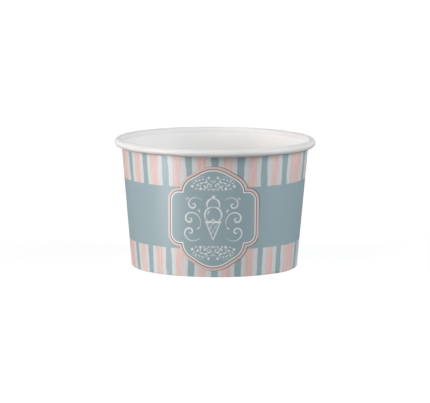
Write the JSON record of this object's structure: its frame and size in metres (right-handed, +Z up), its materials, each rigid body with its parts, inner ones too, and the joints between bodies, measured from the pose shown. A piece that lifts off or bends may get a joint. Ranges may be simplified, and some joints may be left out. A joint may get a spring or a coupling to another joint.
{
  "type": "paper dessert cup",
  "caption": "Small round tapered paper cup with a rolled rim, a lapped side seam and a recessed bottom disc, printed with upright stripes, a plain band and an ornate plaque.",
  "frame": {"origin": "centre of the foot, on the surface that the cup stands on", "axes": "+Z up along the cup's axis; the middle of the printed front faces -Y; +X is to the right of the front"},
  "size_m": [0.075, 0.075, 0.0477],
  "materials": {
    "printed_board": "coated paperboard, white inside and on the rim, printed outside in teal, pink and pale grey, satin",
    "white_board": "white coated paperboard, satin"
  },
  "bodies": {
    "root": {"side_wall": "printed_board", "bottom_disc": "white_board"}
  },
  "joints": []
}
